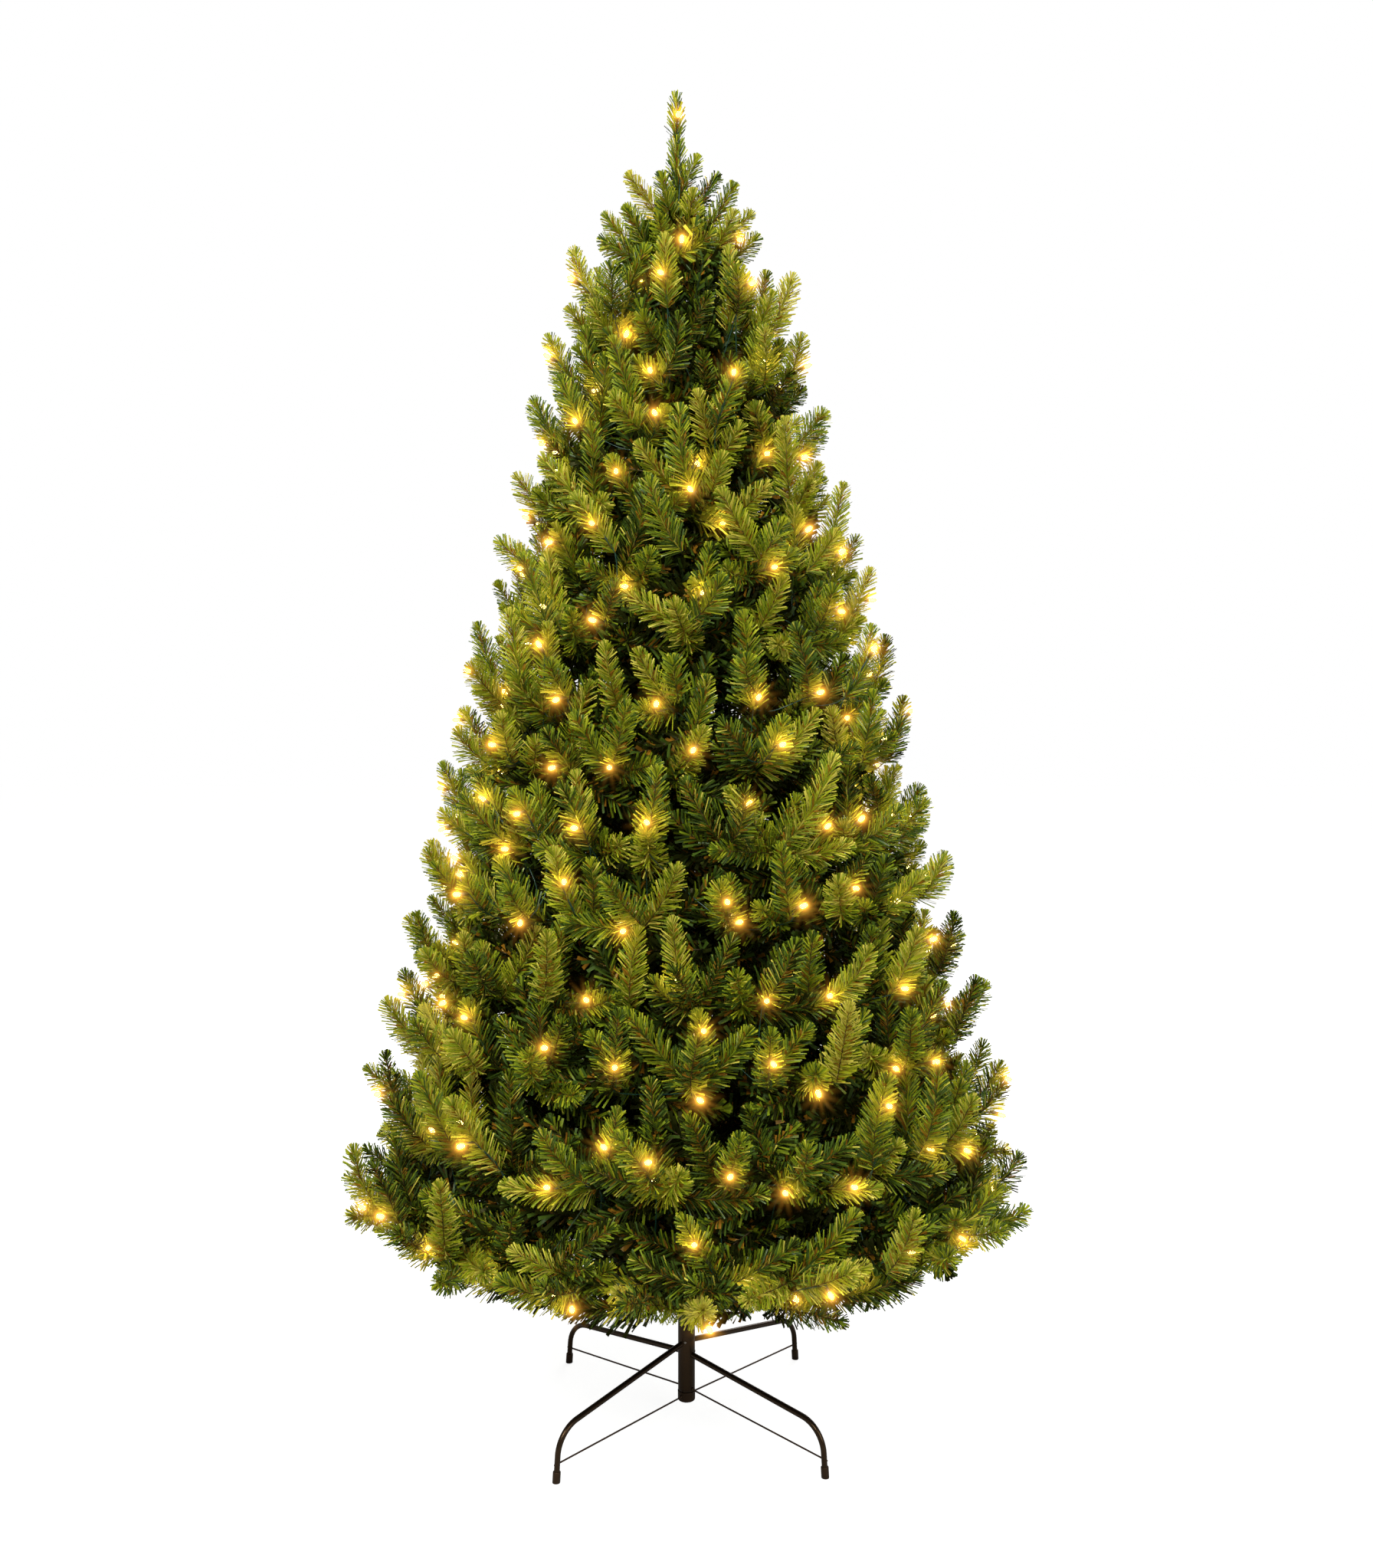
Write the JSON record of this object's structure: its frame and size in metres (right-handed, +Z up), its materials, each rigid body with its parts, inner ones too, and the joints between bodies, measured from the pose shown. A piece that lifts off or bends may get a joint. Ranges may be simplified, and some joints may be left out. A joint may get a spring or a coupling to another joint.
{
  "type": "artificial spruce tree",
  "caption": "Slim conical artificial spruce Christmas tree with built-in warm white lights, on a folding black metal stand with bent tube legs and wire stays.",
  "frame": {"origin": "on the floor, at the middle of the pole's foot", "axes": "+Z up along the pole, -Y towards the front, +X to the right seen from the front"},
  "size_m": [1.1606, 1.1382, 2.286],
  "materials": {
    "needles": "matt",
    "pole": "satin",
    "stand": "gloss",
    "stay": "satin",
    "rubber": "matt",
    "bulb": "clear",
    "wire": "matt"
  },
  "bodies": {
    "root": {"trunk_pole": "pole", "stand_socket": "stand", "stand_end_cap": "rubber", "stand_leg_front_left": "stand", "stand_foot_front_left": "rubber", "stand_stay_front_left": "stay", "stand_leg_front_right": "stand", "stand_foot_front_right": "rubber", "stand_stay_front_right": "stay", "stand_leg_back_right": "stand", "stand_foot_back_right": "rubber", "stand_stay_back_right": "stay", "stand_leg_back_left": "stand", "stand_foot_back_left": "rubber", "stand_stay_back_left": "stay", "foliage_hem_1": "needles", "foliage_hem_2": "needles", "foliage_hem_3": "needles", "foliage_hem_4": "needles", "foliage_hem_5": "needles", "foliage_hem_6": "needles", "foliage_hem_7": "needles", "foliage_skirt_1": "needles", "foliage_skirt_2": "needles", "foliage_skirt_3": "needles", "foliage_skirt_4": "needles", "foliage_skirt_5": "needles", "foliage_skirt_6": "needles", "foliage_lower_1": "needles", "foliage_lower_2": "needles", "foliage_lower_3": "needles", "foliage_lower_4": "needles", "foliage_lower_5": "needles", "foliage_lower_6": "needles", "foliage_waist_1": "needles", "foliage_waist_2": "needles", "foliage_waist_3": "needles", "foliage_waist_4": "needles", "foliage_waist_5": "needles", "foliage_middle_1": "needles", "foliage_middle_2": "needles", "foliage_middle_3": "needles", "foliage_middle_4": "needles", "foliage_middle_5": "needles", "foliage_upper_1": "needles", "foliage_upper_2": "needles", "foliage_upper_3": "needles", "foliage_upper_4": "needles", "foliage_neck_1": "needles", "foliage_neck_2": "needles", "foliage_neck_3": "needles", "foliage_crown_1": "needles", "foliage_crown_2": "needles", "foliage_crown_3": "needles", "foliage_leader": "needles"}
  },
  "joints": []
}
